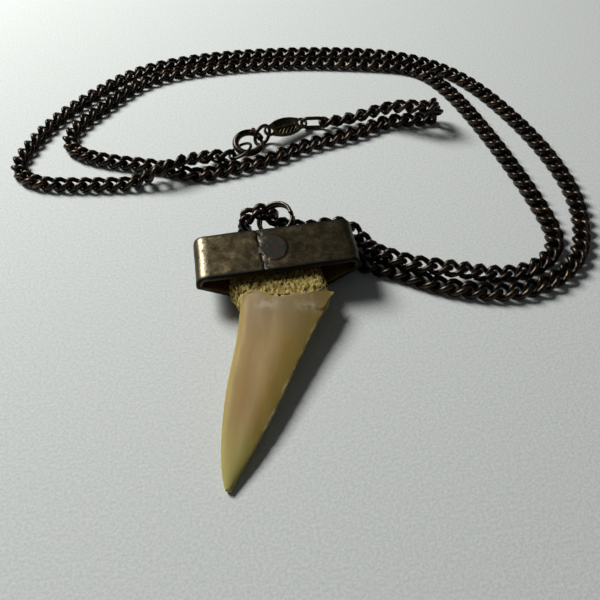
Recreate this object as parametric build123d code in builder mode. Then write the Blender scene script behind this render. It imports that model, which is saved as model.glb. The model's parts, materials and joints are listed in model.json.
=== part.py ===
"""Shark tooth necklace: a natural tooth set in a hand-made metal cap, on a curb chain with a spring ring.

The necklace lies on a table with its cap face up. Millimetres, +Z up. The origin is on the flat back of the
cap, half way along it and a little nearer to its mouth. +X runs along the cap and the tooth points to -Y.
"""

import math
import os
from collections import namedtuple

from build123d import *

os.makedirs("parts", exist_ok=True)

# Cap: a bent band closed at the top by a plate, open towards the tooth
CAP_PLACE = 0.9
CAP_WIDTH = 25.8
CAP_LENGTH = 9.2
CAP_THICKNESS = 6.0
CAP_WALL = 0.9
CAP_PLATE = 1.0
CAP_FLAT_BACK = 13.0
CAP_END_HEIGHT = 2.3
CAP_FRONT_CORNER = 1.7
CAP_BACK_CORNER = 2.5
CAP_END_CORNER = 0.5
CAP_EDGE_ROUND = 0.2
SEAM_PLACE = -2.45
SEAM_WIDTH = 0.3
SEAM_DEPTH = 0.2
SEAM_SLANT = 3.0
PATCH_PLACE = -0.3
PATCH_WIDTH = 4.2
PATCH_LENGTH = 5.4
PATCH_HEIGHT = 0.15

# Eye soldered to the plate of the cap
EYE_PLACE = 1.0
EYE_HEIGHT = 3.6
EYE_RADIUS = 1.4
EYE_WIRE = 0.6
EYE_STAND = 0.35

# Tooth: the root sits in the cap and the crown lies along the table, turned a little to one side
ROOT_GAP = 0.2
ROOT_WIDTH = 15.0
ROOT_SIDE = -0.1
ROOT_INSIDE = 5.5
ROOT_MOUTH_WIDTH = 14.6
ROOT_MOUTH_SIDE = -0.65
ROOT_MOUTH_THICKNESS = 3.2
ROOT_BASE_WIDTH = 15.2
ROOT_BASE_SIDE = -1.05
ROOT_BASE_THICKNESS = 3.5
ROOT_LAP = 2.6
ROOT_LAP_WIDTH = 13.0
ROOT_LAP_SIDE = -0.7
ROOT_LAP_THICKNESS = 2.6
ROOT_EDGE_FLAT = 0.07
CROWN_OFFSET = 3.61
CROWN_SIDE = 0.54
CROWN_TURN = 10.2
CROWN_LENGTH = 30.2
CROWN_WIDTH = 14.8
CROWN_THICKNESS = 4.2
CROWN_LEAN = 6.4
CROWN_LIFT = 0.5
CrownSection = namedtuple("CrownSection", "along lean width thickness")
CROWN_SECTIONS = [
    CrownSection(0.0, 0.0, 1.0, 1.0),
    CrownSection(0.13, 0.14, 0.835, 0.94),
    CrownSection(0.34, 0.375, 0.68, 0.79),
    CrownSection(0.54, 0.595, 0.56, 0.66),
    CrownSection(0.76, 0.81, 0.377, 0.5),
    CrownSection(0.92, 0.96, 0.18, 0.33),
    CrownSection(1.0, 1.0, 0.05, 0.2),
]

# Split ring through the eye
BAIL_RADIUS = 2.85
BAIL_WIRE = 0.66
BAIL_TILT = 12.0
BAIL_ROLL = 18.0
BAIL_STACK = 0.74
BAIL_LEVELS = [-0.85, -0.35, 0.15, 0.8, 1.15]
BAIL_PULL = 0.45

# Curb chain
LINK_PITCH = 2.43
LINK_WIRE = 0.7
LINK_PLAY = 0.15
LINK_END_HALF_WIDTH = 1.0
LINK_MIDDLE_HALF_WIDTH = 1.25
LINK_TWIST = -50.0
LINK_END_RADIUS = 0.8
LINK_SIDE_RADIUS = 1.5
FIRST_LINK_ROLL = 77.0
FIRST_ROLLED_LINKS = 9
LAST_LINKS_ROLL = 30.0

# Tight folds of the chain: for this turn a link comes closer to the last one and steps to the side
FOLD_TURN = 60.0
FOLD_DRAW = 0.2
FOLD_STEP = -0.6

# Spring ring clasp
CLASP_PLACE = (-1.2, 33.5, 2.15)
CLASP_RADIUS = 2.48
CLASP_TUBE = 1.24
CLASP_BORE = 0.86
CLASP_TILT = 14.0
CLASP_GAP_START = -34.0
CLASP_GAP = 50.0
BOLT_WIRE = 0.66
BOLT_TUCK = 10.0
BOLT_REACH = 125.0
BOLT_TRAVEL = 58.0
NIB_PLACE = 60.0
NIB_HEIGHT = 0.7
NIB_WIDTH = 0.46
NIB_LENGTH = 0.7
SLOT_CLEARANCE = 0.1

# Rings, tag and oval link round the clasp
RING_GAP = 0.12
TABLE_GAP = 0.03
END_RING_RADIUS = 2.3
END_RING_WIRE = 0.56
END_RING_BEARING = 223.0
END_RING_HANG = 2.5
END_RING_TILT = 34.0
END_RING_CHAIN = -15.0
END_RING_PLAY = 0.27
CLASP_LINK_RADIUS = 1.95
CLASP_LINK_WIRE = 0.7
CLASP_LINK_BEARING = 30.0
CLASP_LINK_HANG = 0.8
CLASP_LINK_TURN = 38.0
TAG_LENGTH = 9.3
TAG_WIDTH = 3.9
TAG_THICKNESS = 0.5
TAG_END_RADIUS = 1.15
TAG_HOLE = 1.4
TAG_BEARING = 18.5
TAG_TILT = 25.0
TAG_RING_LENGTH = 5.2
TAG_RING_WIDTH = 3.2
TAG_RING_WIRE = 0.7
TAG_RING_BEARING = -8.0
TAG_RING_LEAN = 12.0
TAG_RING_FLAT = 0.02

# Route of the chain: points chosen along each strand, between the rings and the tight folds that end it
BAIL_FOLD_PLACE = (3.9, 8.35, 2.6)
BAIL_FOLD_BEARING = 170.0
BAIL_FOLD_CLIMBS = [14, 52, 32, -22, -78, -130, -172]
SIDE_FOLD_PLACE = (32.6, 36.2, 1.0)
SIDE_FOLD_BEARING = 5.0
SIDE_FOLD_CLIMBS = [0, 60, 120, 180]
CHAIN_ROUTE = {
    "outer_strand": [
        (-6.6, 30.8, 1.78), (-9.0, 31.05, 1.9), (-11.2, 30.7, 2.15), (-13.2, 29.95, 2.72),
        (-15.3, 29.0, 3.0), (-17.6, 28.1, 2.82), (-20.3, 27.5, 1.8), (-23.6, 27.3, 1.0), (-29.0, 27.9, 0.87),
        (-36.0, 29.2, 0.87), (-42.0, 31.4, 0.87), (-45.0, 35.6, 0.87), (-43.8, 41.4, 0.87), (-39.4, 49.6, 0.87),
        (-33.6, 56.2, 0.87), (-28.6, 60.7, 0.87), (-23.0, 64.4, 0.87), (-14.8, 66.8, 0.87), (-4.0, 67.4, 0.87),
        (8.0, 66.4, 0.87),
        (20.0, 64.2, 0.87), (31.2, 60.8, 0.87), (39.6, 55.6, 0.87), (45.8, 47.6, 0.87), (50.2, 36.2, 0.87),
        (52.6, 26.0, 0.87), (53.7, 16.0, 0.87), (53.4, 8.6, 0.87), (51.6, 1.4, 0.87), (48.6, -4.6, 0.87),
        (43.4, -8.7, 0.87), (36.4, -10.3, 0.87), (29.0, -8.8, 0.87), (22.0, -5.2, 0.87), (17.6, -2.3, 0.87),
        (14.4, -0.8, 0.87), (12.3, 1.7, 0.87), (11.5, 4.6, 0.87), (10.0, 7.0, 0.87), (7.6, 7.9, 0.87),
        (5.0, 7.7, 0.87), (2.4, 7.4, 0.87), (0.2, 7.5, 0.95),
    ],
    "inner_strand": [
        (6.3, 7.6, 2.65), (8.6, 7.7, 2.7), (11.2, 7.8, 2.65), (13.7, 6.4, 1.9), (14.9, 4.0, 1.25),
        (15.7, 1.7, 1.8), (17.2, -0.6, 2.7), (19.6, -2.4, 2.75), (22.6, -3.9, 2.7), (26.2, -5.1, 2.6),
        (30.4, -5.8, 1.7), (34.2, -6.4, 0.95), (38.2, -6.6, 0.87), (42.4, -5.2, 0.87), (45.8, -1.6, 0.87),
        (46.7, 3.8, 0.87), (46.4, 11.6, 0.87), (45.3, 23.0, 0.87),
        (43.6, 34.6, 0.87), (41.0, 45.8, 0.87), (36.4, 53.8, 0.87), (28.2, 57.6, 0.87), (18.2, 60.4, 0.87),
        (6.8, 62.6, 0.87), (-4.4, 63.4, 0.87), (-14.6, 62.8, 0.87), (-21.6, 60.4, 0.87), (-26.2, 56.6, 0.87),
        (-30.4, 52.0, 0.87), (-34.6, 47.0, 0.87), (-35.9, 43.0, 0.87), (-34.6, 39.2, 0.87), (-31.3, 36.5, 0.87),
        (-26.2, 34.0, 0.87), (-21.6, 32.3, 0.87), (-18.2, 30.9, 0.87), (-15.4, 29.2, 0.87), (-12.8, 27.8, 0.87),
        (-10.2, 27.3, 0.87), (-7.8, 27.7, 0.87), (-5.2, 28.1, 0.87), (-1.6, 28.5, 0.87), (2.4, 29.6, 0.87),
        (7.6, 31.6, 0.87), (13.6, 33.2, 0.87), (19.6, 34.4, 0.87), (25.0, 36.4, 0.87), (29.4, 36.7, 0.9),
    ],
    "end_strand": [
        (30.2, 35.7, 4.7), (28.0, 36.8, 4.1), (25.8, 37.8, 3.2), (23.2, 38.3, 2.3), (20.4, 38.2, 1.8),
        (17.3, 37.8, 1.75),
    ],
}


def bearing(degrees):
    """Level direction at an angle from +X towards +Y."""
    return Vector(math.cos(math.radians(degrees)), math.sin(math.radians(degrees)), 0)


def turned(plane, degrees):
    """The plane turned about its own x."""
    turn = math.radians(degrees)
    upright = plane.z_dir * math.cos(turn) - plane.y_dir * math.sin(turn)
    return Plane(plane.origin, x_dir=plane.x_dir, z_dir=upright)


def band_outline(width, thickness):
    """Face of the cap's cross-section: flat front, short upright ends and a back that bevels in."""
    half = width / 2
    flat = CAP_FLAT_BACK / 2
    low = thickness - CAP_END_HEIGHT
    with BuildLine() as outline:
        FilletPolyline(
            (-half, thickness), (half, thickness), (half, low), (flat, 0), (-flat, 0), (-half, low),
            radius=[
                CAP_FRONT_CORNER, CAP_FRONT_CORNER, CAP_END_CORNER,
                CAP_BACK_CORNER, CAP_BACK_CORNER, CAP_END_CORNER,
            ],
            close=True,
        )
    make_face(outline.edges())


def ring(plane, radius, wire):
    """Plain round ring of round wire, lying in a plane."""
    with BuildPart(plane) as part:
        Torus(radius, wire / 2)
    return part.part


def oval_of_wire(corners, radii, wire):
    """Closed loop of round wire: half of it follows the rounded corners, and the rest is that turned over."""
    with BuildPart() as half:
        with BuildLine() as path:
            FilletPolyline(*corners, radius=radii)
        with BuildSketch(Plane(path.line @ 0, z_dir=path.line % 0)):
            Circle(wire / 2)
        sweep(path=path.line)
    with BuildPart() as loop:
        add(half.part)
        add(half.part.rotate(Axis.X, 180))
    return loop.part


# Cap with its seam, its solder patch and its eye
plate_face = Plane.XZ.offset(-CAP_PLACE - CAP_LENGTH / 2)
eye_centre = (EYE_PLACE, CAP_PLACE + CAP_LENGTH / 2 + EYE_STAND, EYE_HEIGHT)
with BuildPart(Plane(eye_centre, z_dir=(1, 0, 0))) as eye:
    Torus(EYE_RADIUS, EYE_WIRE / 2)
    split(bisect_by=plate_face.offset(CAP_PLATE / 2), keep=Keep.BOTTOM)

with BuildPart() as cap:
    with BuildSketch(plate_face):
        band_outline(CAP_WIDTH, CAP_THICKNESS)
    extrude(amount=CAP_LENGTH)
    with BuildSketch(plate_face.offset(CAP_PLATE)):
        band_outline(CAP_WIDTH, CAP_THICKNESS)
        offset(amount=-CAP_WALL, mode=Mode.REPLACE)
    extrude(amount=CAP_LENGTH - CAP_PLATE, mode=Mode.SUBTRACT)
    rims = cap.faces().filter_by(Axis.Y).sort_by(Axis.Y)
    fillet(rims[-1].edges() + rims[0].edges(), CAP_EDGE_ROUND)
    with BuildSketch(Plane((PATCH_PLACE, CAP_PLACE, CAP_THICKNESS))):
        Ellipse(PATCH_WIDTH / 2, PATCH_LENGTH / 2)
    extrude(amount=PATCH_HEIGHT)
    with BuildSketch(Plane((SEAM_PLACE, CAP_PLACE, CAP_THICKNESS))):
        Rectangle(SEAM_WIDTH, 2 * CAP_LENGTH, rotation=SEAM_SLANT)
    extrude(amount=-SEAM_DEPTH, mode=Mode.SUBTRACT)
    add(eye.part)
cap.part.label = "cap"
export_step(cap.part, "parts/cap.step")

# Tooth: root and crown are one solid
mouth = Plane.XZ.offset(CAP_LENGTH / 2 - CAP_PLACE)
root_top = CAP_THICKNESS - CAP_WALL - ROOT_GAP
root_thickness = root_top - CAP_WALL - ROOT_GAP
crown_turn = math.radians(CROWN_TURN)
crown_base = Plane(
    origin=(CROWN_SIDE, CAP_PLACE - CAP_LENGTH / 2 - CROWN_OFFSET, 0),
    x_dir=(math.cos(crown_turn), -math.sin(crown_turn), 0),
    z_dir=(-math.sin(crown_turn), -math.cos(crown_turn), 0),
)
crown_middle = CROWN_LIFT + CROWN_THICKNESS / 2


def root_section(plane, side, middle, width, thickness):
    """Rounded section of the root, its middle to one side of the plane's and at a height above the table."""
    place = plane.from_local_coords((side, middle, 0))
    with BuildSketch(Plane(place, x_dir=plane.x_dir, z_dir=plane.z_dir)) as outline:
        RectangleRounded(width, thickness, thickness / 2 - ROOT_EDGE_FLAT)
    return outline.sketch


def crown_section(section):
    """Section of the crown: a narrow bevel on the left, a flat front, a sharp right edge and a full back."""
    width = CROWN_WIDTH * section.width
    thickness = CROWN_THICKNESS * section.thickness
    middle = -CROWN_LEAN * section.lean
    low = CROWN_LIFT * (1 - section.along)
    left = (middle - width * 0.5, low + thickness * 0.56)
    shoulder = (middle - width * 0.38, low + thickness * 0.93)
    right = (middle + width * 0.5, low + thickness * 0.7)
    with BuildSketch(crown_base.offset(CROWN_LENGTH * section.along)) as outline:
        with BuildLine():
            ThreePointArc(left, (middle - width * 0.465, low + thickness * 0.78), shoulder)
            ThreePointArc(shoulder, (middle + width * 0.05, low + thickness), right)
            ThreePointArc(right, (middle, low), left)
        make_face()
    return outline.sketch


root_middle = root_top - root_thickness / 2
root_sections = [
    root_section(mouth.offset(-ROOT_INSIDE), ROOT_SIDE, root_middle, ROOT_WIDTH, root_thickness),
    root_section(mouth, ROOT_MOUTH_SIDE, root_middle, ROOT_MOUTH_WIDTH, ROOT_MOUTH_THICKNESS),
    root_section(crown_base, ROOT_BASE_SIDE, crown_middle, ROOT_BASE_WIDTH, ROOT_BASE_THICKNESS),
    root_section(crown_base.offset(ROOT_LAP), ROOT_LAP_SIDE, crown_middle, ROOT_LAP_WIDTH, ROOT_LAP_THICKNESS),
]
crown_sections = [crown_section(row) for row in CROWN_SECTIONS]
with BuildPart() as tooth:
    loft(root_sections)
    loft(crown_sections)
tooth.part.label = "tooth"
export_step(tooth.part, "parts/tooth.step")

# Split ring through the eye: two turns of wire made of half circles, close on the left and splayed on the right
bail_rise = math.radians(BAIL_TILT)
bail_roll = math.radians(BAIL_ROLL)
bail_out = Vector(0, math.cos(bail_rise), math.sin(bail_rise))
bail_near = Vector(*eye_centre) + Vector(0, EYE_RADIUS - EYE_WIRE / 2 - BAIL_WIRE / 2 - BAIL_PULL, 0)
bail_centre = bail_near + bail_out * BAIL_RADIUS
bail_side = Vector(math.cos(bail_roll), 0, 0) + Vector(1, 0, 0).cross(bail_out) * math.sin(bail_roll)
bail_up = bail_side.cross(bail_out)
with BuildPart() as bail_ring:
    with BuildLine() as bail_path:
        bends = []
        for number, level in enumerate(BAIL_LEVELS):
            side = bail_side * (-1) ** number * BAIL_RADIUS
            bends.append(bail_centre + side + bail_up * level * BAIL_STACK)
        for number in range(len(bends) - 1):
            middle = (bends[number] + bends[number + 1]) / 2
            reach = (bends[number] - bends[number + 1]).length / 2
            ThreePointArc(bends[number], middle - bail_out * (-1) ** number * reach, bends[number + 1])
    with BuildSketch(Plane(bail_path.line @ 0, z_dir=bail_path.line % 0)):
        Circle(BAIL_WIRE / 2)
    sweep(path=bail_path.line)
bail_ring.part.label = "bail_ring"
export_step(bail_ring.part, "parts/bail_ring.step")

# Spring ring: a hollow tube with a gap, and a bolt that slides in it by its nib
clasp_rise = math.radians(CLASP_TILT)
clasp_centre = Vector(*CLASP_PLACE)
clasp_axis = Vector(0, -math.sin(clasp_rise), math.cos(clasp_rise))


def clasp_direction(degrees):
    """Direction from the middle of the clasp, in its own plane."""
    across = Vector(1, 0, 0)
    up_slope = clasp_axis.cross(across)
    return across * math.cos(math.radians(degrees)) + up_slope * math.sin(math.radians(degrees))


def clasp_section(degrees):
    """Plane that cuts across the tube: its x runs outwards and its y along the clasp's axis."""
    outwards = clasp_direction(degrees)
    return Plane(clasp_centre + outwards * CLASP_RADIUS, x_dir=outwards, z_dir=outwards.cross(clasp_axis))


turning_axis = Axis(clasp_centre, clasp_axis)
nib_span = math.degrees(NIB_LENGTH / CLASP_RADIUS)
slot_span = math.degrees((NIB_LENGTH + 2 * SLOT_CLEARANCE) / CLASP_RADIUS) + BOLT_TRAVEL
slot_start = NIB_PLACE - math.degrees((NIB_LENGTH / 2 + SLOT_CLEARANCE) / CLASP_RADIUS)
with BuildPart() as clasp_ring:
    with BuildSketch(clasp_section(CLASP_GAP_START + CLASP_GAP)):
        Circle(CLASP_TUBE / 2)
        Circle(CLASP_BORE / 2, mode=Mode.SUBTRACT)
    revolve(axis=turning_axis, revolution_arc=360 - CLASP_GAP)
    with BuildSketch(clasp_section(slot_start)):
        Rectangle(NIB_WIDTH + 2 * SLOT_CLEARANCE, CLASP_TUBE, align=(Align.CENTER, Align.MIN))
    revolve(axis=turning_axis, revolution_arc=slot_span, mode=Mode.SUBTRACT)
clasp_ring.part.label = "clasp_ring"
export_step(clasp_ring.part, "parts/clasp_ring.step")

with BuildPart() as clasp_bolt:
    with BuildSketch(clasp_section(CLASP_GAP_START - BOLT_TUCK)):
        Circle(BOLT_WIRE / 2)
    revolve(axis=turning_axis, revolution_arc=BOLT_REACH)
    with BuildSketch(clasp_section(NIB_PLACE - nib_span / 2)):
        Rectangle(NIB_WIDTH, CLASP_TUBE / 2 + NIB_HEIGHT, align=(Align.CENTER, Align.MIN))
    revolve(axis=turning_axis, revolution_arc=nib_span)
clasp_bolt.part.label = "clasp_bolt"
export_step(clasp_bolt.part, "parts/clasp_bolt.step")

# End ring: lies through the clasp, tilted so that it passes over its tube on one side and under it on the other
end_ring_reach = clasp_direction(END_RING_BEARING)
end_ring_centre = clasp_centre + end_ring_reach * END_RING_HANG
end_ring_plane = turned(Plane(end_ring_centre, x_dir=end_ring_reach, z_dir=clasp_axis), END_RING_TILT)
end_ring = ring(end_ring_plane, END_RING_RADIUS, END_RING_WIRE)
end_ring.label = "end_ring"
export_step(end_ring, "parts/end_ring.step")

# Clasp link: stands on the table, round the tube and through the tag
clasp_link_centre = clasp_centre + clasp_direction(CLASP_LINK_BEARING) * (CLASP_RADIUS + CLASP_LINK_HANG)
clasp_link_centre.Z = CLASP_LINK_RADIUS + CLASP_LINK_WIRE / 2 + TABLE_GAP
clasp_link_out = bearing(CLASP_LINK_TURN)
clasp_link = ring(
    Plane(clasp_link_centre, x_dir=clasp_link_out, z_dir=bearing(CLASP_LINK_TURN - 90)),
    CLASP_LINK_RADIUS, CLASP_LINK_WIRE,
)
clasp_link.label = "clasp_link"
export_step(clasp_link, "parts/clasp_link.step")

# Tag: a leaf of sheet metal with a hole at each end
tag_reach = TAG_LENGTH - 2 * TAG_END_RADIUS
tag_hole_near = clasp_link_centre + clasp_link_out * CLASP_LINK_RADIUS
tag_ring_rise = (TAG_RING_WIDTH - TAG_RING_WIRE) / 2
tag_ring_height = tag_ring_rise * math.cos(math.radians(TAG_RING_LEAN)) + TAG_RING_WIRE / 2
tag_drop = tag_hole_near.Z - tag_ring_height - TABLE_GAP
tag_level = math.sqrt(tag_reach**2 - tag_drop**2)
tag_hole_far = tag_hole_near + bearing(TAG_BEARING) * tag_level - Vector(0, 0, tag_drop)
tag_along = (tag_hole_far - tag_hole_near).normalized()
tag_upward = tag_along.cross(Vector(0, 0, 1).cross(tag_along))
tag_plane = turned(Plane((tag_hole_near + tag_hole_far) / 2, x_dir=tag_along, z_dir=tag_upward), TAG_TILT)
with BuildPart() as end_tag:
    with BuildSketch(tag_plane):
        with BuildLine():
            ThreePointArc((-TAG_LENGTH / 2, 0), (0, TAG_WIDTH / 2), (TAG_LENGTH / 2, 0))
            ThreePointArc((TAG_LENGTH / 2, 0), (0, -TAG_WIDTH / 2), (-TAG_LENGTH / 2, 0))
        make_face()
        with Locations((-tag_reach / 2, 0), (tag_reach / 2, 0)):
            Circle(TAG_END_RADIUS)
            Circle(TAG_HOLE / 2, mode=Mode.SUBTRACT)
    extrude(amount=TAG_THICKNESS / 2, both=True)
end_tag.part.label = "end_tag"
export_step(end_tag.part, "parts/end_tag.step")

# Tag ring: an oval of wire that stands on the table, through the tag and the last link
tag_ring_out = bearing(TAG_RING_BEARING)
tag_ring_half = (TAG_RING_LENGTH - TAG_RING_WIRE) / 2
tag_ring_centre = tag_hole_far + tag_ring_out * tag_ring_half
tag_ring_plane = turned(Plane(tag_ring_centre, x_dir=tag_ring_out, z_dir=(0, 0, 1)), 90 + TAG_RING_LEAN)
tag_ring = oval_of_wire(
    [(tag_ring_half, 0), (tag_ring_half, tag_ring_rise), (-tag_ring_half, tag_ring_rise), (-tag_ring_half, 0)],
    [tag_ring_rise - TAG_RING_FLAT] * 2,
    TAG_RING_WIRE,
).moved(Location(tag_ring_plane))
tag_ring.label = "tag_ring"
export_step(tag_ring, "parts/tag_ring.step")

# Chain: twisted links placed between points that lie a pitch apart along its route
link_lap = LINK_WIRE / 2 + LINK_PLAY
link_half_length = LINK_PITCH / 2 + link_lap
link_rise = math.radians(LINK_TWIST)
link_end_y = LINK_END_HALF_WIDTH * math.cos(link_rise)
link_end_z = LINK_END_HALF_WIDTH * math.sin(link_rise)
one_link = oval_of_wire(
    [
        (link_half_length, 0, 0), (link_half_length, link_end_y, link_end_z), (0, LINK_MIDDLE_HALF_WIDTH, 0),
        (-link_half_length, link_end_y, -link_end_z), (-link_half_length, 0, 0),
    ],
    [LINK_END_RADIUS, LINK_SIDE_RADIUS, LINK_END_RADIUS],
    LINK_WIRE,
)


def link_plane(middle, way, roll=0):
    """Place of a link: its x runs along the chain and its z is as near to upright as that allows."""
    sideways = Vector(0, 0, 1).cross(way)
    return turned(Plane(middle, x_dir=way, z_dir=way.cross(sideways)), roll)


def strand_links(points, start_way, end_way, first_roll=0, last_roll=0):
    """Places of the links of one strand, evenly spaced along a smooth curve through its points."""
    with BuildLine():
        curve = Spline(*points, tangents=(start_way, end_way), tangent_scalars=(1, 1))
    length = curve.length
    count = round(length / LINK_PITCH)
    pivots = [curve.position_at(length * step / count, PositionMode.LENGTH) for step in range(count + 1)]
    print("strand of", count, "links,", round(length, 1), "mm")
    places = []
    for number, (here, there) in enumerate(zip(pivots[:-1], pivots[1:])):
        way = (there - here).normalized()
        roll = first_roll * max(0, 1 - number / FIRST_ROLLED_LINKS) + last_roll * (number + 1) / count
        places.append(link_plane((here + there) / 2, way, roll))
    return places


def fold_links(first_pivot, heading, climbs):
    """Places of the links of a tight fold in an upright plane, with its ways in and out and its end point."""
    ahead = bearing(heading)
    slopes = [math.radians(climb) for climb in climbs]
    ways = [ahead * math.cos(slope) + Vector(0, 0, math.sin(slope)) for slope in slopes]
    sideways = Vector(0, 0, 1).cross(ahead)
    middle = Vector(*first_pivot) + ways[0] * LINK_PITCH / 2
    places = [Plane(middle, x_dir=ways[0], z_dir=ways[0].cross(sideways))]
    for number in range(1, len(climbs)):
        turn = (climbs[number] - climbs[number - 1]) / FOLD_TURN
        drawn = LINK_PITCH - FOLD_DRAW * abs(turn)
        middle += (ways[number - 1] + ways[number]) * drawn / 2 + sideways * FOLD_STEP * turn
        places.append(Plane(middle, x_dir=ways[number], z_dir=ways[number].cross(sideways)))
    return places, ways[0], ways[-1], middle + ways[-1] * LINK_PITCH / 2


bail_fold, bail_way_in, bail_way_out, bail_fold_end = fold_links(
    BAIL_FOLD_PLACE, BAIL_FOLD_BEARING, BAIL_FOLD_CLIMBS
)
side_fold, side_way_in, side_way_out, side_fold_end = fold_links(
    SIDE_FOLD_PLACE, SIDE_FOLD_BEARING, SIDE_FOLD_CLIMBS
)
hook_angle = math.radians(END_RING_CHAIN)
hook_way = end_ring_plane.x_dir * math.cos(hook_angle) + end_ring_plane.y_dir * math.sin(hook_angle)
hook_back = (LINK_WIRE + END_RING_WIRE) / 2 + END_RING_PLAY - link_lap
chain_start = end_ring_centre + hook_way * (END_RING_RADIUS - hook_back)
tag_back = (LINK_WIRE + TAG_RING_WIRE) / 2 + RING_GAP - link_lap
chain_end = tag_ring_centre + tag_ring_out * (tag_ring_half - tag_back)

first_way = (Vector(*CHAIN_ROUTE["outer_strand"][0]) - chain_start).normalized()
last_way = (chain_end - Vector(*CHAIN_ROUTE["end_strand"][-1])).normalized()
places = bail_fold + side_fold
outer_route = [chain_start, *CHAIN_ROUTE["outer_strand"], bail_fold_end]
inner_route = [BAIL_FOLD_PLACE, *CHAIN_ROUTE["inner_strand"], SIDE_FOLD_PLACE]
end_route = [side_fold_end, *CHAIN_ROUTE["end_strand"], chain_end]
places += strand_links(outer_route, first_way, -bail_way_out, first_roll=FIRST_LINK_ROLL)
places += strand_links(inner_route, -bail_way_in, side_way_in)
places += strand_links(end_route, side_way_out, last_way, last_roll=LAST_LINKS_ROLL)
print("chain of", len(places), "links, about", round(len(places) * LINK_PITCH), "mm")
chain = Compound(children=[one_link.moved(Location(place)) for place in places], label="chain")
export_step(chain, "parts/chain.step")
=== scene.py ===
# %% [markdown]
# This script dresses a shark tooth necklace that was first built as exact solids. The solids are loaded as a fixed
# frame, so every piece made here goes where the model says, in metres. What has the right shape already is kept
# and gets a better finish. What nature or a bench tool made uneven is modelled again over its solid.

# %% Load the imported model
import json
import math

import bpy
import numpy as np
from mathutils import Matrix, Vector, noise

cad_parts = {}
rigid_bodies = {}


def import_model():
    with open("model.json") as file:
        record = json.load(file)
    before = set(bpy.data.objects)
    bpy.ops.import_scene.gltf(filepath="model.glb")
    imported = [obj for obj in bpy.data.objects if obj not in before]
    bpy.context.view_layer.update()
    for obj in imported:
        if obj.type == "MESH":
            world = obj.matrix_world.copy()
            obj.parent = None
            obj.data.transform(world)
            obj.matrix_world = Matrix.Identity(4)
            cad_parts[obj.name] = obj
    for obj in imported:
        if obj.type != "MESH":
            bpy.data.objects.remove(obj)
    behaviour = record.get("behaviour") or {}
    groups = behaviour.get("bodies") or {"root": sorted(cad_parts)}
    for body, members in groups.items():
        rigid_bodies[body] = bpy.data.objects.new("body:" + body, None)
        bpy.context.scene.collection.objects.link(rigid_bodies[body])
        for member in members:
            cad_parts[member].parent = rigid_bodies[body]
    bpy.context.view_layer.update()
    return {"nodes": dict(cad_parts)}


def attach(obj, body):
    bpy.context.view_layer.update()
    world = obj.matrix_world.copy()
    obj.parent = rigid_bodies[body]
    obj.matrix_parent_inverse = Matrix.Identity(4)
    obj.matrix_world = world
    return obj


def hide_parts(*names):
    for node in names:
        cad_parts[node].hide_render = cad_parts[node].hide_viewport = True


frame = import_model()
nodes = frame["nodes"]
MM = 0.001
print("nodes:", sorted(nodes))

# %% [markdown]
# The camera comes first, because everything is judged through it. The necklace is seen from above and in front,
# by a hand-held camera that leans a little to one side. A lens is given here as its focal length over the width
# of the picture, and Blender wants it in millimetres of a 36 mm sensor.

# %% Camera
CAMERA_PLACE = Vector((-5.31, -76.04, 83.22)) * MM
CAMERA_BEARING = math.radians(6.5)
CAMERA_PITCH = math.radians(49.5)
CAMERA_ROLL = math.radians(2.82)
FOCAL_PER_WIDTH = 694.8 / 600
NEAREST_SEEN = 5 * MM

bpy.ops.object.select_all(action="DESELECT")
bpy.ops.object.camera_add()
camera = bpy.context.object
camera.name = "camera"
camera.data.lens = FOCAL_PER_WIDTH * camera.data.sensor_width
camera.data.clip_start = NEAREST_SEEN
looking_down = Matrix.Rotation(math.pi / 2 - CAMERA_PITCH, 4, "X")
leaning = Matrix.Rotation(-CAMERA_ROLL, 4, "Z")
camera.matrix_world = (
    Matrix.Translation(CAMERA_PLACE) @ Matrix.Rotation(-CAMERA_BEARING, 4, "Z") @ looking_down @ leaning
)
bpy.context.scene.camera = camera
print("lens", round(camera.data.lens, 1), "mm")

# %% [markdown]
# The table is a plain pale sheet with a faint grain, and it isn't part of the object. One soft lamp stands behind
# it at the upper left. It is low enough to throw long shadows to the right and the front, and near enough for its
# light to fall off across the sheet. A faint pale world around keeps the shadows open.

# %% Table and light
TABLE_SIZE = 3.0
LAMP_SIZE = 0.16
LAMP_POWER = 2.5
LAMP_PLACE = Vector((-0.22, 0.26, 0.28))
WORLD_COLOUR = (0.80, 0.84, 0.86, 1)
WORLD_STRENGTH = 0.06

bpy.ops.mesh.primitive_plane_add(size=TABLE_SIZE)
table = bpy.context.object
table.name = "table_top"

bpy.ops.object.light_add(type="AREA", location=LAMP_PLACE)
lamp = bpy.context.object
lamp.name = "window_lamp"
lamp.data.size = LAMP_SIZE
lamp.data.energy = LAMP_POWER
lamp.rotation_euler = (-LAMP_PLACE).to_track_quat("-Z", "Y").to_euler()

world = bpy.data.worlds.new("pale_room")
bpy.context.scene.world = world
world.use_nodes = True
world.node_tree.nodes["Background"].inputs["Color"].default_value = WORLD_COLOUR
world.node_tree.nodes["Background"].inputs["Strength"].default_value = WORLD_STRENGTH
bpy.context.scene.view_settings.view_transform = "Standard"

# %% [markdown]
# Finishes are written as arithmetic. A Reading is one output of a node, and adding or multiplying readings makes
# the Math nodes for it. A Finish is one material, and its add method makes any other node: the settings first,
# then the values or readings for its sockets.

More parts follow.
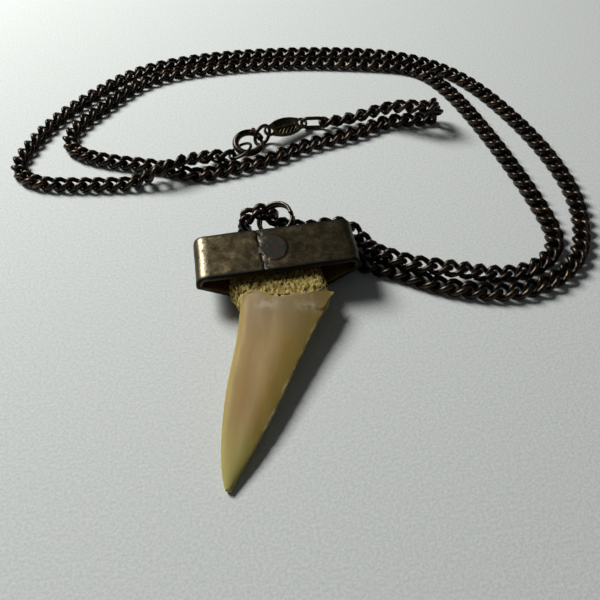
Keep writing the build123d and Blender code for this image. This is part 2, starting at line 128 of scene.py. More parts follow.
# %% Arithmetic for finishes
class Reading:
    """A value that varies over a surface: one output of a node."""

    def __init__(self, finish, socket):
        self.finish = finish
        self.socket = socket

    def maths(self, operation, first, second=0.0, third=0.0):
        return self.finish.add("ShaderNodeMath", {"operation": operation}, {0: first, 1: second, 2: third})

    def __add__(self, other):
        return self.maths("ADD", self, other)

    def __sub__(self, other):
        return self.maths("SUBTRACT", self, other)

    def __rsub__(self, other):
        return self.maths("SUBTRACT", other, self)

    def __mul__(self, other):
        return self.maths("MULTIPLY", self, other)

    def __truediv__(self, other):
        return self.maths("DIVIDE", self, other)

    def __pow__(self, other):
        return self.maths("POWER", self, other)

    __radd__ = __add__
    __rmul__ = __mul__

    def size(self):
        return self.maths("ABSOLUTE", self)

    def rise(self, low, high):
        """0 below low, 1 above high and smooth between them."""
        inputs = {"Value": self, "From Min": low, "From Max": high}
        return self.finish.add("ShaderNodeMapRange", {"interpolation_type": "SMOOTHSTEP"}, inputs)

    def fall(self, low, high):
        return 1 - self.rise(low, high)


class Finish:
    """One material and its nodes."""

    def __init__(self, name, **plain):
        self.material = bpy.data.materials.new(name)
        self.material.use_nodes = True
        self.tree = self.material.node_tree
        self.shader = self.tree.nodes["Principled BSDF"]
        for socket, value in plain.items():
            self.shader.inputs[socket.replace("_", " ")].default_value = value

    def add(self, kind, settings=None, inputs=None, output=0):
        node = self.tree.nodes.new(kind)
        for name, value in (settings or {}).items():
            if name == "stops":
                for number, (place, colour) in enumerate(value):
                    stop = node.color_ramp.elements[number] if number < 2 else node.color_ramp.elements.new(place)
                    stop.position = place
                    stop.color = colour
            else:
                setattr(node, name, value)
        for name, value in (inputs or {}).items():
            self.put(node.inputs[name], value)
        return Reading(self, node.outputs[output])

    def put(self, socket, value):
        if isinstance(value, Reading):
            self.tree.links.new(value.socket, socket)
        else:
            socket.default_value = value

    def shade(self, **inputs):
        for name, value in inputs.items():
            self.put(self.shader.inputs[name.replace("_", " ")], value)

    def millimetres(self):
        """The place on the object, in millimetres."""
        place = self.add("ShaderNodeTexCoord", output="Object")
        return self.add("ShaderNodeVectorMath", {"operation": "SCALE"}, {0: place, "Scale": 1 / MM})

    def part(self, vector, axis):
        return self.add("ShaderNodeSeparateXYZ", {}, {0: vector}, output=axis)

    def stretched(self, vector, scale=(1, 1, 1), turn=(0, 0, 0), shift=(0, 0, 0)):
        inputs = {0: vector, "Location": shift, "Rotation": turn, "Scale": scale}
        return self.add("ShaderNodeMapping", {"vector_type": "POINT"}, inputs)

    def cloud(self, vector, per_mm, detail=3.0, roughness=0.55, warp=0.0):
        """Soft noise, 0 to 1."""
        inputs = {
            "Vector": vector, "Scale": per_mm, "Detail": detail, "Roughness": roughness, "Distortion": warp,
        }
        return self.add("ShaderNodeTexNoise", {}, inputs)

    def ramp(self, value, stops):
        return self.add("ShaderNodeValToRGB", {"stops": stops}, {0: value})

    def blend(self, share, first, second):
        """Colour: all first where share is 0 and all second where it is 1."""
        settings = {"data_type": "RGBA"}
        return self.add("ShaderNodeMix", settings, {0: share, 6: first, 7: second}, output=2)

    def written(self, name):
        """A share that was written on the points of the mesh."""
        return self.add("ShaderNodeAttribute", {"attribute_name": name}, output="Fac")

    def bump(self, height, depth, strength):
        """Normal of a surface with a small relief, its depth in metres."""
        inputs = {"Height": height, "Distance": depth, "Strength": strength}
        return self.add("ShaderNodeBump", {}, inputs)


def colour(red, green, blue):
    """Shader colour from one as seen on a screen, 0 to 255."""
    shares = [level / 255 for level in (red, green, blue)]
    linear = [s / 12.92 if s <= 0.04045 else ((s + 0.055) / 1.055) ** 2.4 for s in shares]
    return (*linear, 1)


# %% [markdown]
# The table's paper has a fine, faint grain in its colour and its relief, so that it looks like a real sheet.

# %% Paper finish
GRAIN_PER_MM = 2.4
GRAIN_DEPTH = 0.06 * MM
PAPER_SHADE = colour(204, 208, 204)
PAPER_LIGHT = colour(220, 223, 219)

paper = Finish("paper", Roughness=0.9, Specular_IOR_Level=0.15)
grain = paper.cloud(paper.millimetres(), GRAIN_PER_MM, 3.0, 0.65)
paper.shade(
    Base_Color=paper.blend(grain.rise(0.3, 0.7), PAPER_SHADE, PAPER_LIGHT),
    Normal=paper.bump(grain, GRAIN_DEPTH, 0.6),
)
table.data.materials.append(paper.material)

# %% [markdown]
# Four small tools do what a hand does at the keyboard: let go of everything, pick up one piece, apply a modifier,
# and take a copy of a solid with its loose triangles joined up. Voxel remeshing then gives that copy an even
# skin, fine enough to be worked like clay. The clay's points are read as one array, moved along their normals and
# given shares. A rise, a fall and a rough noise are all that the reliefs below are made of.

# %% Hand tools
JOINING = 0.002 * MM


def let_go():
    if bpy.context.mode != "OBJECT":
        bpy.ops.object.mode_set(mode="OBJECT")
    bpy.ops.object.select_all(action="DESELECT")


def pick_up(piece):
    let_go()
    piece.select_set(True)
    bpy.context.view_layer.objects.active = piece


def apply_modifier(piece, kind, **settings):
    pick_up(piece)
    modifier = piece.modifiers.new(kind.lower(), kind)
    for name, value in settings.items():
        setattr(modifier, name, value)
    bpy.ops.object.modifier_apply(modifier=modifier.name)


def copy_of_solid(name, node):
    piece = bpy.data.objects.new(name, nodes[node].data.copy())
    bpy.context.scene.collection.objects.link(piece)
    pick_up(piece)
    piece.data.materials.clear()
    bpy.ops.mesh.customdata_custom_splitnormals_clear()
    bpy.ops.object.mode_set(mode="EDIT")
    bpy.ops.mesh.select_all(action="SELECT")
    bpy.ops.mesh.remove_doubles(threshold=JOINING)
    bpy.ops.object.mode_set(mode="OBJECT")
    return piece


def clay_of_solid(name, node, voxel):
    """An even skin of small quads over a copy of a solid."""
    piece = copy_of_solid(name, node)
    apply_modifier(piece, "REMESH", mode="VOXEL", voxel_size=voxel, use_smooth_shade=True)
    return piece


def points_of(piece):
    """Places of a mesh's points, in millimetres."""
    places = np.empty(len(piece.data.vertices) * 3)
    piece.data.vertices.foreach_get("co", places)
    return places.reshape(-1, 3) / MM


def normals_of(piece):
    ways = np.empty(len(piece.data.vertices) * 3)
    piece.data.vertices.foreach_get("normal", ways)
    return ways.reshape(-1, 3)


def move_points(piece, places):
    piece.data.vertices.foreach_set("co", (places * MM).ravel())
    piece.data.update()


def write_share(piece, name, shares):
    """Keeps one number for each point, which a finish can read."""
    attribute = piece.data.attributes.new(name, "FLOAT", "POINT")
    attribute.data.foreach_set("value", shares)


def rise(values, low, high):
    """0 below low, 1 above high and smooth between them."""
    share = np.clip((values - low) / (high - low), 0, 1)
    return share * share * (3 - 2 * share)


def fall(values, low, high):
    return 1 - rise(values, low, high)


def rough(places, stretch, seed):
    """Noise for each point, about -1 to 1, stretched by a scale for each axis."""
    shift = Vector((seed, seed * 2.3, -seed))
    return np.array([noise.noise(Vector(place) + shift) for place in places * np.array(stretch)])


# %% [markdown]
# The tooth is a fossil or dried shark tooth: a smooth enamel crown, long and a little bent, over a bony root full
# of fine pores. The solid has its form. Here its skin is worked: the enamel ends in a shallow V over the root, the
# root is cut by short upright furrows, and the crown gets slow waves along its length. At its upper right the solid
# is blunt, where a real crown ends in a thin point. There the skin is held between a top and a floor that close
# towards the edge, and is drawn back into the corner. Each point also keeps a share, 1 on enamel and 0 on root, so
# that the colours change exactly where the shape does. Across and along are measured on the crown, in millimetres.

# %% Tooth shape
TOOTH_VOXEL = 0.19 * MM
CROWN_START = (0.43, -7.9)
CROWN_TURN = math.radians(10.2)
CROWN_LENGTH = 29.6
SOLID_CROWN_START = -0.6
ENAMEL_TOP_ACROSS = [-7.2, -5.4, -4.35, -2.8, -0.9, 0.0, 1.3, 3.0, 4.35, 6.3]
ENAMEL_TOP_ALONG = [-0.2, -1.05, -0.9, -0.05, 0.4, 0.0, -0.33, -0.67, -0.9, -1.5]
ENAMEL_TOP_WAVER = 0.12
ENAMEL_SIDE_ALONG = [-2.0, 2.2, 3.4]
ENAMEL_SIDE_ACROSS = [-6.9, -7.0, -9.5]
ALL_ENAMEL_ACROSS = 6.2
ALL_ENAMEL_ALONG = -3.0
ENAMEL_STEP = 0.3
ENAMEL_STEP_END = 4.4, 5.6
FURROW_DEPTH = 0.3
FURROW_LEVELS = -0.1, 0.45
PORE_DEPTH = 0.12
PORE_LEVELS = 0.0, 0.4
CROWN_WAVE = 0.05
CORNER_REACH = 1.0
REACH_ACROSS = 3.6, 7.4
REACH_ALONG = 0.3, 3.2
THIN_FROM_ACROSS = 1.6, 2.6
THIN_TO_ALONG = 2.9, 3.6
CORNER_ACROSS = [1.5, 2.5, 3.5, 4.5, 5.5, 6.5, 7.5]
CORNER_TOP = [4.75, 4.52, 4.32, 4.08, 3.8, 3.48, 3.2]
CORNER_TOP_START = 0.5
CORNER_TOP_FALL = 0.14
CORNER_FLOOR = [0.4, 0.95, 1.5, 2.2, 2.95, 3.0, 3.0]
CORNER_FLOOR_END = 2.6
CORNER_FLOOR_RISE = 0.3

# The scale of each noise per millimetre of x, y and z, and its seed
ENAMEL_TOP_NOISE = (0.9, 0.0, 0.0), 3.0
FURROW_NOISE = (3.0, 1.1, 2.4), 11.0
PORE_NOISE = (5.2, 2.6, 4.6), 5.0
CROWN_NOISE = (0.55, 0.1, 0.5), 7.0


def in_tooth(places):
    """How far across and along the crown each place lies."""
    x = places[:, 0] - CROWN_START[0]
    y = places[:, 1] - CROWN_START[1]
    cosine, sine = math.cos(CROWN_TURN), math.sin(CROWN_TURN)
    return x * cosine - y * sine, -x * sine - y * cosine


tooth = clay_of_solid("shark_tooth", "tooth", TOOTH_VOXEL)
places = points_of(tooth)
ways = normals_of(tooth)
across, along = in_tooth(places)
enamel_top = np.interp(across, ENAMEL_TOP_ACROSS, ENAMEL_TOP_ALONG)
enamel_top = enamel_top + ENAMEL_TOP_WAVER * rough(places, *ENAMEL_TOP_NOISE)
enamel_top = np.where(across > ALL_ENAMEL_ACROSS, ALL_ENAMEL_ALONG, enamel_top)
enamel_side = np.interp(along, ENAMEL_SIDE_ALONG, ENAMEL_SIDE_ACROSS)
enamel = rise(along - enamel_top, -0.1, 0.1) * rise(across - enamel_side, -0.12, 0.12)
bare_root = 1 - enamel
crown_solid = rise(along - SOLID_CROWN_START, -0.3, 0.2)
furrows = rise(rough(places, *FURROW_NOISE), *FURROW_LEVELS)
pores = rise(rough(places, *PORE_NOISE), *PORE_LEVELS)
relief = (
    ENAMEL_STEP * (enamel - crown_solid) * fall(across, *ENAMEL_STEP_END)
    - bare_root * (FURROW_DEPTH * furrows + PORE_DEPTH * pores)
    + CROWN_WAVE * enamel * rough(places, *CROWN_NOISE)
)
places = places + ways * relief[:, None]

corner_top = np.interp(across, CORNER_ACROSS, CORNER_TOP) - CORNER_TOP_FALL * (along - CORNER_TOP_START)
corner_floor = np.interp(across, CORNER_ACROSS, CORNER_FLOOR) - CORNER_FLOOR_RISE * (CORNER_FLOOR_END - along)
thinned = np.minimum(np.maximum(places[:, 2], corner_floor), corner_top)
thin_share = enamel * rise(across, *THIN_FROM_ACROSS) * fall(along, *THIN_TO_ALONG)
places[:, 2] += thin_share * (thinned - places[:, 2])
reach = CORNER_REACH * rise(across, *REACH_ACROSS) * fall(along, *REACH_ALONG)
back_along = np.array([math.sin(CROWN_TURN), math.cos(CROWN_TURN), 0])
move_points(tooth, places + reach[:, None] * back_along)
write_share(tooth, "enamel", enamel)
write_share(tooth, "furrow", bare_root * np.clip(furrows + pores, 0, 1))
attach(tooth, "necklace")
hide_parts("tooth")
print("tooth:", len(tooth.data.polygons), "faces")

# %% [markdown]
# Enamel is stained ivory. Across the crown the colour goes from an ochre edge through brown to olive, and ends in
# a painted highlight: a thin pale line along the right edge. Along the crown it goes from a duller brown under the
# root to a clear yellow green tip. Two pale spots lie under the root, and a few dark specks over all of it. Two
# Mapping nodes turn the place on the object into the tooth's own directions. The enamel scatters a little light,
# and its gloss is low and even.

# %% Tooth finish
CROWN_LEAN = -6.6
CROWN_HALF_WIDTH = 7.2
CROWN_NARROWING = 6.2
PALE_SPOTS_ALONG = 0.06
PALE_SPOTS_ACROSS = -2.6, 3.2
TOOTH_RELIEF = 0.03 * MM
# The last stop is a painted highlight: a thin pale line along the right edge of the crown.
FLANK_COLOURS_AND_EDGE_HIGHLIGHT = [
    (0.0, colour(160, 142, 78)), (0.14, colour(150, 120, 62)), (0.3, colour(152, 122, 72)),
    (0.5, colour(170, 144, 98)), (0.74, colour(152, 124, 62)), (0.93, colour(150, 128, 66)),
    (1.0, colour(206, 194, 142)),
]
TIP_COLOUR = colour(174, 164, 92)
DULL_TOP_COLOUR = colour(132, 115, 82)
PALE_SPOT_COLOUR = colour(176, 166, 136)
SPECK_COLOUR = colour(84, 60, 32)
ROOT_BROWN = colour(104, 82, 28)
ROOT_STRAW = colour(204, 188, 112)
FURROW_COLOUR = colour(96, 72, 24)

tooth_finish = Finish(
    "tooth_enamel_and_root", Subsurface_Weight=0.1, Subsurface_Scale=0.0012, Subsurface_Radius=(1.0, 0.6, 0.35),
    IOR=1.5, Specular_IOR_Level=0.22,
)
on_tooth = tooth_finish.millimetres()
shifted = tooth_finish.stretched(on_tooth, shift=(-CROWN_START[0], -CROWN_START[1], 0))
own_way = tooth_finish.stretched(shifted, turn=(0, 0, CROWN_TURN))
tooth_across = tooth_finish.part(own_way, "X")
share_along = tooth_finish.part(own_way, "Y") * -1 / CROWN_LENGTH
middle_line = share_along * CROWN_LEAN
half_width = CROWN_HALF_WIDTH - share_along * CROWN_NARROWING
waver = tooth_finish.cloud(tooth_finish.stretched(own_way, scale=(1, 0.35, 1)), 0.45, 3.0) - 0.5
side = (tooth_across - middle_line) / half_width + waver * 0.5
# Colours across the crown; the pale right end is the painted edge highlight.
flank_and_edge_highlight = tooth_finish.ramp(side * 0.5 + 0.5, FLANK_COLOURS_AND_EDGE_HIGHLIGHT)
with_tip = tooth_finish.blend((share_along + waver * 0.1).rise(0.62, 1.0), flank_and_edge_highlight, TIP_COLOUR)
dull_top = (share_along + waver * 0.25).fall(0.02, 0.34) * side.size().fall(0.55, 1.0)
with_dull_top = tooth_finish.blend(dull_top * 0.75, with_tip, DULL_TOP_COLOUR)
left_spot, right_spot = [(tooth_across - place).size().fall(0.8, 2.6) for place in PALE_SPOTS_ACROSS]
spots_along = (share_along - PALE_SPOTS_ALONG).size().fall(0.0, 0.05)
pale_spots = spots_along * (left_spot + right_spot) * tooth_finish.cloud(own_way, 1.2, 3.0).rise(0.35, 0.62)
with_spots = tooth_finish.blend(pale_spots * 0.6, with_dull_top, PALE_SPOT_COLOUR)
speck_noise = tooth_finish.cloud(tooth_finish.stretched(own_way, scale=(1.6, 0.6, 1.6)), 0.8, 4.0, 0.7)
enamel_colour = tooth_finish.blend(speck_noise.rise(0.66, 0.74) * 0.7, with_spots, SPECK_COLOUR)

root_tone = tooth_finish.cloud(tooth_finish.stretched(on_tooth, scale=(2.2, 1.0, 1.5)), 2.2, 5.0, 0.7)
root_light = tooth_finish.blend(root_tone.rise(0.34, 0.66), ROOT_BROWN, ROOT_STRAW)
root_colour = tooth_finish.blend(tooth_finish.written("furrow") * 0.7, root_light, FURROW_COLOUR)
enamel_share = tooth_finish.written("enamel")
tooth_relief = speck_noise * enamel_share + root_tone * (1 - enamel_share) * 3
tooth_finish.shade(
    Base_Color=tooth_finish.blend(enamel_share, root_colour, enamel_colour),
    Roughness=enamel_share * -0.25 + 0.8 + waver * 0.15,
    Normal=tooth_finish.bump(tooth_relief, TOOTH_RELIEF, 0.6),
)
tooth.data.materials.append(tooth_finish.material)

# %% [markdown]
# The cap was bent up from sheet and soldered by hand, so nothing on it is quite flat. Its solid is copied as clay
# and given slow dents, fine ripples, a pitted strip of solder along the seam and a lip that isn't quite straight.
# Shares are kept for the solder, the inside and the bend at the left, where the finish paints a highlight.
# Places along the cap are measured from its middle, towards its plate.

# %% Cap shape
CAP_VOXEL = 0.17 * MM
CAP_MIDDLE = 0.9
CAP_HALF_LENGTH = 4.6
CAP_HALF_HEIGHT = 3.0
CAP_TOP = 6.0
SEAM_PLACE = -2.45
SEAM_SLANT = math.radians(3)
SOLDER_WIDTH = 1.1
SOLDER_EDGE = -0.2, 0.4
RELIEF_END = 4.9, 5.4
INSIDE_LEVELS = 0.2, 0.9
INSIDE_WALL_END = CAP_HALF_LENGTH - 0.8, CAP_HALF_LENGTH - 0.5
INSIDE_PLATE_START = 1.0 - CAP_HALF_LENGTH, 2.0 - CAP_HALF_LENGTH
SIDEWAYS_WEIGHT = 0.2
MOUTH_START = CAP_HALF_LENGTH - 1.2
BEND_START = 10.5, 11.2
BEND_END = 11.3, 12.2
DENT_DEPTH = 0.09
RIPPLE_DEPTH = 0.03
PIT_DEPTH = 0.07
LIP_WAVE = 0.16
DENT_NOISE = (0.22, 0.3, 0.3), 9.0
RIPPLE_NOISE = (0.9, 0.9, 0.9), 4.0
PIT_NOISE = (2.2, 2.2, 2.2), 2.0
LIP_NOISE = (0.25, 0.0, 0.3), 6.0

cap = clay_of_solid("tooth_cap", "cap", CAP_VOXEL)
places = points_of(cap)
ways = normals_of(cap)
from_middle = places[:, 1] - CAP_MIDDLE
on_cap = fall(from_middle, *RELIEF_END)
from_seam = places[:, 0] - SEAM_PLACE + from_middle * math.tan(SEAM_SLANT)
solder = rise(from_seam, 0.0, 0.25) * fall(from_seam - SOLDER_WIDTH, *SOLDER_EDGE)
solder = solder * rise(places[:, 2], CAP_TOP - 0.6, CAP_TOP - 0.1)
pits = rise(rough(places, *PIT_NOISE), 0.0, 0.5)
to_axis = -places[:, 0] * ways[:, 0] * SIDEWAYS_WEIGHT + (CAP_HALF_HEIGHT - places[:, 2]) * ways[:, 2]
inner_wall = rise(to_axis, *INSIDE_LEVELS) * fall(from_middle, *INSIDE_WALL_END)
inner_plate = rise(-ways[:, 1], 0.5, 0.9) * rise(from_middle, *INSIDE_PLATE_START)
inside = np.maximum(inner_wall, inner_plate)
relief = on_cap * (
    DENT_DEPTH * rough(places, *DENT_NOISE)
    + RIPPLE_DEPTH * rough(places, *RIPPLE_NOISE)
    - PIT_DEPTH * pits * solder
)
places = places + ways * relief[:, None]
places[:, 1] -= rise(-from_middle, MOUTH_START, CAP_HALF_LENGTH) * LIP_WAVE * rough(places, *LIP_NOISE)
move_points(cap, places)
# The bend at the left carries a painted highlight, kept as a share.
to_left = -places[:, 0]
highlight_on_left_bend = rise(to_left, *BEND_START) * fall(to_left, *BEND_END)
write_share(cap, "solder", solder)
write_share(cap, "inside", inside)
write_share(cap, "bend", highlight_on_left_bend * on_cap * (1 - inside))
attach(cap, "necklace")
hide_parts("cap")
print("cap:", len(cap.data.polygons), "faces")

# %% [markdown]
# Old bronze or tarnished silver is brown where hands rub it and black green where they don't reach: along the
# rims, in the seam and at both ends. The brown is broken by clouds and fine scratches. Painted shade darkens it
# towards the right, away from the lamp, and a painted highlight lies pale on the bend at the left. Beside the seam
# lie a strip of grey solder and a dark slate patch with a rust red middle. The inside has gone amber with old glue.
# Each colour is blended over the ones before it.

# %% Cap finish
PATCH_PLACE = -0.3
PATCH_WIDTH = 4.2
PATCH_LENGTH = 5.4
RIM_EDGE = 3.85, 4.35
END_EDGE = 12.2, 12.8
CAP_HALF_WIDTH = 13.0
PATINA_RELIEF = 0.04 * MM
BROWN_COLOURS = [
    (0.34, colour(30, 24, 12)), (0.46, colour(58, 49, 28)), (0.56, colour(82, 71, 45)),
    (0.68, colour(122, 108, 76)),
]
# Painted shade, laid over the right of the cap
PAINTED_SHADE_BROWN = colour(26, 20, 10)
# A painted highlight: pale metal for the bend at the left
PAINTED_HIGHLIGHT_METAL = colour(206, 192, 160)
BLACK_GREEN = colour(17, 19, 13)
SOLDER_GREY = colour(104, 100, 88)
SLATE = colour(34, 33, 29)
RUST = colour(50, 30, 22)
SEAM_BLACK = colour(10, 9, 7)
AMBER_DARK = colour(112, 66, 22)
AMBER_LIGHT = colour(150, 116, 58)

patina = Finish("cap_patina", IOR=1.45)
on_metal = patina.millimetres()
metal_x = patina.part(on_metal, "X")
metal_y = patina.part(on_metal, "Y") - CAP_MIDDLE
on_top = patina.part(on_metal, "Z").rise(CAP_TOP - 0.5, CAP_TOP - 0.15)
clouds = patina.cloud(on_metal, 0.55, 5.0, 0.62, 0.4)
mottle = patina.cloud(on_metal, 2.6, 6.0, 0.75)
scratches = patina.cloud(patina.stretched(on_metal, scale=(1, 0.22, 1), turn=(0, 0, 0.5)), 5.0, 2.0, 0.6)

brown = patina.ramp(clouds * 0.6 + mottle * 0.4, BROWN_COLOURS)
# Painted shade: the brown is darkened towards the right, away from the lamp.
painted_shade_share = metal_x.rise(-CAP_HALF_WIDTH, CAP_HALF_WIDTH)
with_painted_shade = patina.blend(painted_shade_share * 0.5 + 0.08, brown, PAINTED_SHADE_BROWN)
# Painted highlight: the bend at the left is made pale and a little glossier.
wear_and_painted_highlight = patina.written("bend") * mottle.rise(0.32, 0.58)
with_bend = patina.blend(wear_and_painted_highlight * 0.65, with_painted_shade, PAINTED_HIGHLIGHT_METAL)
edge_waver = mottle * 0.5 - 0.25
rims = (metal_y.size() + edge_waver).rise(*RIM_EDGE)
ends = (metal_x.size() + edge_waver).rise(*END_EDGE) * 0.4
dark = rims.maths("MAXIMUM", rims, ends)
with_rims = patina.blend(dark * 0.9, with_bend, BLACK_GREEN)
with_solder = patina.blend(patina.written("solder") * mottle.rise(0.45, 0.62) * 0.7, with_rims, SOLDER_GREY)
patch_x = (metal_x - PATCH_PLACE) / (PATCH_WIDTH / 2)
patch_y = metal_y / (PATCH_LENGTH / 2)
patch_reach = (patch_x * patch_x + patch_y * patch_y) ** 0.5 + (mottle - 0.5) * 0.5
patch = patch_reach.fall(0.82, 1.15) * on_top
with_patch = patina.blend(patch * 0.85, with_solder, SLATE)
with_rust = patina.blend(patch_reach.fall(0.15, 0.5) * on_top * 0.5, with_patch, RUST)
from_seam_line = (metal_x + metal_y * math.tan(SEAM_SLANT) - SEAM_PLACE).size()
with_seam = patina.blend(from_seam_line.fall(0.1, 0.28) * on_top * 0.9, with_rust, SEAM_BLACK)
amber = patina.blend(mottle.rise(0.35, 0.65), AMBER_DARK, AMBER_LIGHT)
inside_share = patina.written("inside")
patina.shade(
    Base_Color=patina.blend(inside_share * 0.9, with_seam, amber),
    Metallic=inside_share * -0.5 + 0.75,
    Roughness=0.3 + mottle * 0.26 + dark * 0.12 + patch * 0.15 - wear_and_painted_highlight * 0.06,
    Normal=patina.bump(scratches * 0.4 + mottle * 0.6 + clouds, PATINA_RELIEF, 0.55),
)
cap.data.materials.append(patina.material)

# %% [markdown]
# A curb chain is one link repeated: a loop of wire, twisted so that it lies flat against the next one. The link
# is drawn as a closed Bezier curve with a round bevel, low in faces because it is repeated hundreds of times. The
# frame says where each link lies. The solid chain is taken apart into its links, and the spread of each one's
# faces gives its long, broad and thin directions. The wire is drawn a little fatter than the solid's, so that the
# links touch as real ones do.

# %% Chain links
LINK_HALF_LENGTH = 1.7
LINK_HALF_WIDTH = 1.12
LINK_CORNER_PLACE = 1.2
LINK_CORNER_WIDTH = 0.92
LINK_TWIST = math.radians(-50)
LINK_WIRE = 0.94


def link_point(x, y):
    """A point on the link's centre line, turned about its length by its share of the twist."""
    turn = LINK_TWIST * max(-1, min(1, x / LINK_CORNER_PLACE))
    return Vector((x, y * math.cos(turn), y * math.sin(turn))) * MM


def draw_link():
    corners = [
        (LINK_HALF_LENGTH, 0), (LINK_CORNER_PLACE, LINK_CORNER_WIDTH),
        (0, LINK_HALF_WIDTH), (-LINK_CORNER_PLACE, LINK_CORNER_WIDTH),
        (-LINK_HALF_LENGTH, 0), (-LINK_CORNER_PLACE, -LINK_CORNER_WIDTH),
        (0, -LINK_HALF_WIDTH), (LINK_CORNER_PLACE, -LINK_CORNER_WIDTH),
    ]
    let_go()
    bpy.ops.curve.primitive_bezier_circle_add()
    bpy.ops.object.mode_set(mode="EDIT")
    bpy.ops.curve.select_all(action="SELECT")
    bpy.ops.curve.subdivide()
    bpy.ops.curve.handle_type_set(type="AUTOMATIC")
    bpy.ops.object.mode_set(mode="OBJECT")
    link = bpy.context.object
    for point, corner in zip(link.data.splines[0].bezier_points, corners):
        point.co = link_point(*corner)
    link.data.resolution_u = 2
    link.data.bevel_depth = LINK_WIRE / 2 * MM
    link.data.bevel_resolution = 1
    bpy.ops.object.convert(target="MESH")
    bpy.ops.object.shade_smooth()
    return link


def place_of_link(part):
    """Where a solid link lies: its middle and its long, broad and thin directions."""
    count = len(part.data.polygons)
    middles = np.empty(count * 3)
    areas = np.empty(count)
    part.data.polygons.foreach_get("center", middles)
    part.data.polygons.foreach_get("area", areas)
    middles = middles.reshape(-1, 3)
    weights = (areas / areas.sum())[:, None]
    centre = (middles * weights).sum(0)
    spread = (middles - centre).T @ ((middles - centre) * weights)
    _, directions = np.linalg.eigh(spread)
    long_way, broad_way = Vector(directions[:, 2]), Vector(directions[:, 1])
    turn = Matrix((long_way, broad_way, long_way.cross(broad_way))).transposed().to_4x4()
    return Matrix.Translation(Vector(centre)) @ turn


solid_chain = copy_of_solid("solid_chain", "chain")
bpy.ops.object.mode_set(mode="EDIT")
bpy.ops.mesh.select_all(action="SELECT")
bpy.ops.mesh.separate(type="LOOSE")
bpy.ops.object.mode_set(mode="OBJECT")
solid_links = list(bpy.context.selected_objects)
link_places = [place_of_link(part) for part in solid_links]
solid_meshes = [part.data for part in solid_links]
bpy.data.batch_remove(solid_links)
bpy.data.batch_remove(solid_meshes)

first_link = draw_link()
links = []
for place in link_places:
    link = bpy.data.objects.new("link", first_link.data.copy())
    bpy.context.scene.collection.objects.link(link)
    link.data.transform(place)
    links.append(link)
bpy.data.objects.remove(first_link)
let_go()
for link in links:
    link.select_set(True)
bpy.context.view_layer.objects.active = links[0]
bpy.ops.object.join()
chain = bpy.context.object
chain.name = "curb_chain"
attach(chain, "necklace")
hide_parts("chain")
print("chain:", len(link_places), "links,", len(chain.data.polygons), "faces")

# %% [markdown]
# The tag at the chain's end is a struck leaf: a raised border, a rib down its middle and short slanting veins. Its
# solid is copied as fine clay, and the same spread of faces that placed the links finds its own directions. Its
# outline is two arcs, so the distance to the nearer arc tells what is border. The ends round the holes stay plain.

# %% Leaf tag
TAG_VOXEL = 0.09 * MM
TAG_LENGTH = 9.3
TAG_WIDTH = 3.9
BORDER_EDGE = 0.34, 0.46
RIB_EDGE = 0.12, 0.26
VEIN_PITCH = 0.85
VEIN_SLANT = 0.9
VEIN_LEVELS = 0.35, 0.95
VEIN_HEIGHT = 0.6
PLAIN_ENDS = TAG_LENGTH / 2 - 2.9, TAG_LENGTH / 2 - 2.4
TAG_RELIEF = 0.16
UNMOVED_HEIGHT = 0.7

leaf_place = place_of_link(nodes["end_tag"])
if (leaf_place.to_3x3() @ Vector((0, 0, 1))).z < 0:
    leaf_place = leaf_place @ Matrix.Rotation(math.pi, 4, "X")
leaf = clay_of_solid("leaf_tag", "end_tag", TAG_VOXEL)
places = points_of(leaf)
ways = normals_of(leaf)
to_leaf = np.array(leaf_place.inverted())
leaf_places = (places * MM @ to_leaf[:3, :3].T + to_leaf[:3, 3]) / MM
facing = np.abs((ways @ to_leaf[:3, :3].T)[:, 2])
from_centre = np.abs(leaf_places[:, 0])
from_rib = np.abs(leaf_places[:, 1])
arc_radius = (TAG_LENGTH**2 + TAG_WIDTH**2) / (4 * TAG_WIDTH)
half_chord = np.minimum(from_centre, TAG_LENGTH / 2)
from_edge = np.sqrt(arc_radius**2 - half_chord**2) - arc_radius + TAG_WIDTH / 2 - from_rib
border = fall(from_edge, *BORDER_EDGE)
rib = fall(from_rib, *RIB_EDGE)
vein_phase = (leaf_places[:, 0] - VEIN_SLANT * from_rib) / VEIN_PITCH
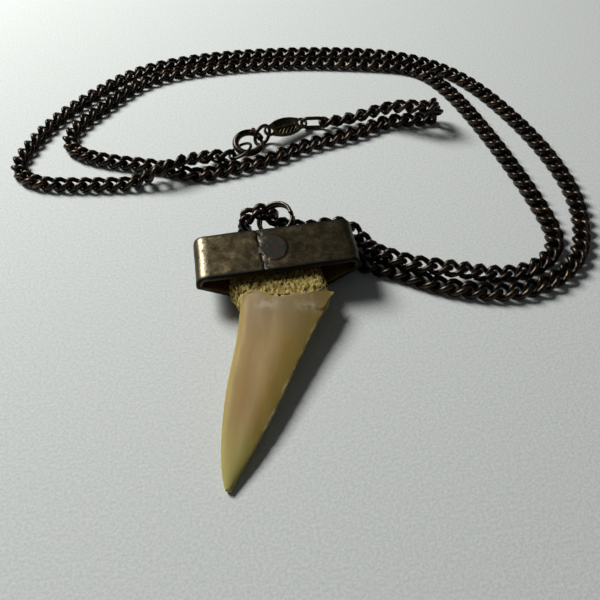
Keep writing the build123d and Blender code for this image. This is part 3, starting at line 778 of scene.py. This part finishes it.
veins = rise(np.cos(vein_phase * 2 * math.pi), *VEIN_LEVELS) * VEIN_HEIGHT
plain_end = rise(from_centre, *PLAIN_ENDS)
raised = np.maximum(np.maximum(border, rib), veins) * (1 - plain_end) + plain_end
relief = TAG_RELIEF * (raised - UNMOVED_HEIGHT) * rise(facing, 0.5, 0.9)
move_points(leaf, places + ways * relief[:, None])
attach(leaf, "necklace")
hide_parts("end_tag")
print("leaf:", len(leaf.data.polygons), "faces")

# %% [markdown]
# The chain is plated and worn: nearly black, with a bronze cast where the plating is thin. Slow noise along the
# object turns some links browner than others, and finer noise breaks the shine of each. The rings are greyer, the
# bolt is redder and the tag greener. Those pieces that keep their solid's shape get the finish in its own slot.

# %% Dark metal finishes
METAL_RELIEF = 0.03 * MM


def dark_metal(name, shadow, middle, wear_and_painted_highlight, gloss):
    finish = Finish(name, Metallic=0.9, IOR=1.5)
    place = finish.millimetres()
    slow = finish.cloud(place, 0.35, 3.0)
    quick = finish.cloud(place, 2.4, 4.0, 0.65)
    tone = finish.ramp(slow * 0.55 + quick * 0.45, [(0.36, shadow), (0.5, middle), (0.66, wear_and_painted_highlight)])
    finish.shade(
        Base_Color=tone, Roughness=gloss + quick * 0.25, Normal=finish.bump(quick, METAL_RELIEF, 0.5)
    )
    return finish.material


chain_metal = dark_metal("chain_metal", colour(32, 28, 25), colour(50, 44, 38), colour(92, 76, 60), 0.2)
ring_metal = dark_metal("ring_metal", colour(38, 35, 30), colour(58, 52, 44), colour(92, 80, 62), 0.2)
bolt_metal = dark_metal("bolt_metal", colour(48, 40, 32), colour(84, 64, 46), colour(126, 94, 66), 0.25)
tag_metal = dark_metal("tag_metal", colour(36, 33, 22), colour(66, 60, 40), colour(112, 102, 66), 0.24)
chain.data.materials.append(chain_metal)
leaf.data.materials.append(tag_metal)
for name in ("bail_ring", "end_ring", "clasp_ring", "clasp_link", "tag_ring"):
    nodes[name].material_slots[0].material = ring_metal
nodes["clasp_bolt"].material_slots[0].material = bolt_metal
